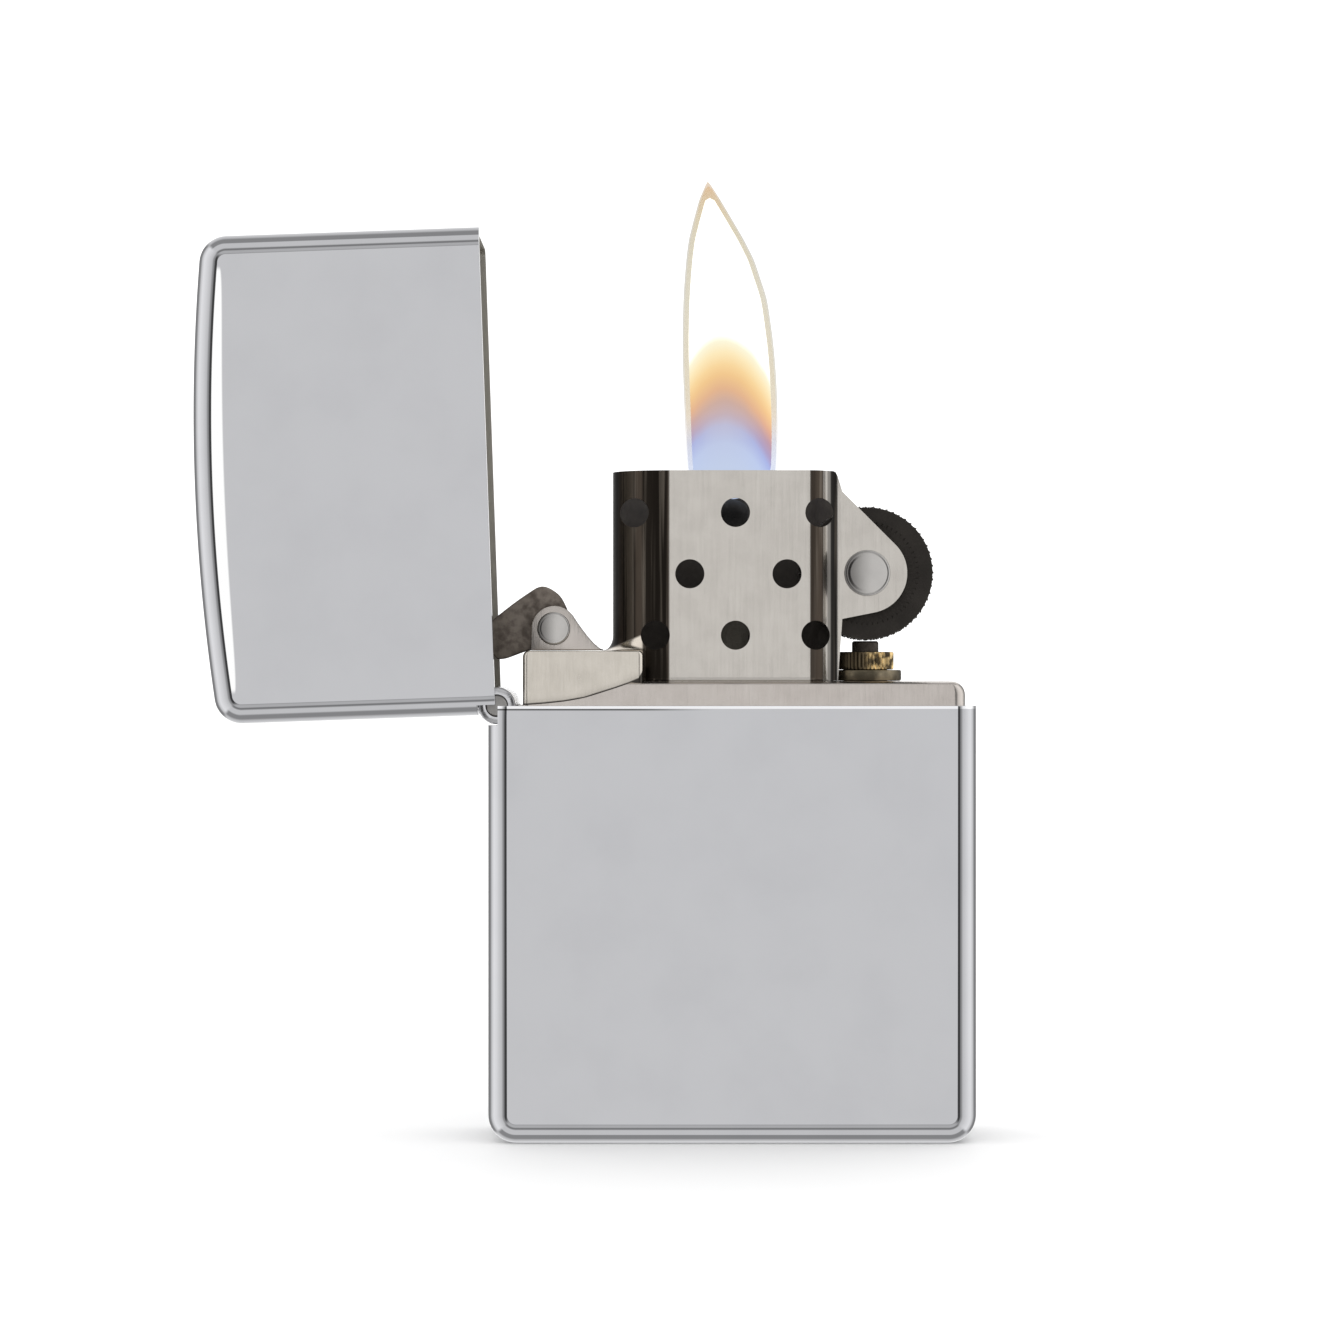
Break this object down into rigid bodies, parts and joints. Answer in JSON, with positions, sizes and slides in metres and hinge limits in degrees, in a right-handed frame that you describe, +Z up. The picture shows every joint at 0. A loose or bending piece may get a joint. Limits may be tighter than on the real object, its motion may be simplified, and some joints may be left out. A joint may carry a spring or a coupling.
{
  "type": "flip-top windproof petrol lighter",
  "caption": "Pocket petrol lighter with a hinged flip-top lid, a lift-out insert with perforated chimney, spark wheel, sprung flint, cam and wick.",
  "frame": {"origin": "middle of the flat underside of the case", "axes": "+X from the hinge to the free side, -Y the front, +Z up out of the case; at rest the lid stands open 92 degrees to the left"},
  "size_m": [0.0612, 0.0126, 0.0715],
  "materials": {
    "chrome": "polished",
    "hinge_chrome": "satin",
    "insert_steel": "satin",
    "chimney_steel": "satin",
    "pin_steel": "satin",
    "cam_steel": "satin",
    "wheel_steel": "satin",
    "brass": "satin",
    "bronze": "satin",
    "spring_steel": "satin",
    "flint_grey": "matte",
    "wick_cotton": "matte",
    "wadding": "matte",
    "felt": "matte"
  },
  "bodies": {
    "case": {"case_shell": "chrome", "case_hinge_plate": "hinge_chrome", "hinge_pin": "pin_steel"},
    "lid": {"lid_shell": "chrome", "lid_hinge_plate": "hinge_chrome"},
    "insert": {"tank_shell": "insert_steel", "cam_shoulder": "insert_steel", "cam_bracket": "insert_steel", "cam_rivet": "insert_steel", "cam_spring": "spring_steel", "cam_spring_rivet": "insert_steel", "chimney": "chimney_steel", "wheel_rivet": "chimney_steel", "flint_tube": "brass", "tube_flange": "bronze", "flint_collar": "brass", "flint_spring": "spring_steel", "wick": "wick_cotton", "packing_shoulder": "wadding", "packing_upper": "wadding", "packing_middle": "wadding", "packing_lower": "wadding", "packing_floor": "wadding", "packing_side": "wadding", "felt_pad": "felt"},
    "cam_toggle": {"cam": "cam_steel"},
    "wheel": {"spark_wheel": "wheel_steel"},
    "flint_stack": {"flint": "flint_grey", "flint_pusher": "brass"},
    "tube_screw": {"flint_screw": "brass"}
  },
  "joints": [
    {"name": "lid_hinge", "type": "hinge", "parent": "case", "child": "lid", "pos_m": [-0.01834, 0, 0.0341], "axis": [0, -1, 0], "range_deg": [-92, 30]},
    {"name": "insert_slide", "type": "slide", "parent": "case", "child": "insert", "axis": [0, 0, 1], "range_m": [0, 0.036]},
    {"name": "cam_pivot", "type": "hinge", "parent": "insert", "child": "cam_toggle", "pos_m": [-0.01401, 0, 0.04014], "axis": [0, -1, 0], "range_deg": [-69.5, 23]},
    {"name": "wheel_spin", "type": "hinge", "parent": "insert", "child": "wheel", "pos_m": [0.01064, 0, 0.04449], "axis": [0, 1, 0], "continuous": true},
    {"name": "flint_feed", "type": "slide", "parent": "insert", "child": "flint_stack", "axis": [0, 0, 1], "range_m": [-0.003, 0], "stiffness_N_per_m": 50, "deforming": ["flint_spring"]},
    {"name": "screw_turn", "type": "hinge", "parent": "insert", "child": "tube_screw", "pos_m": [0.01064, 0, 0.00165], "axis": [0, 0, 1], "continuous": true}
  ],
  "couplings": [
    {"joint": "cam_pivot", "follows": "lid_hinge", "ratio": 0.75}
  ]
}
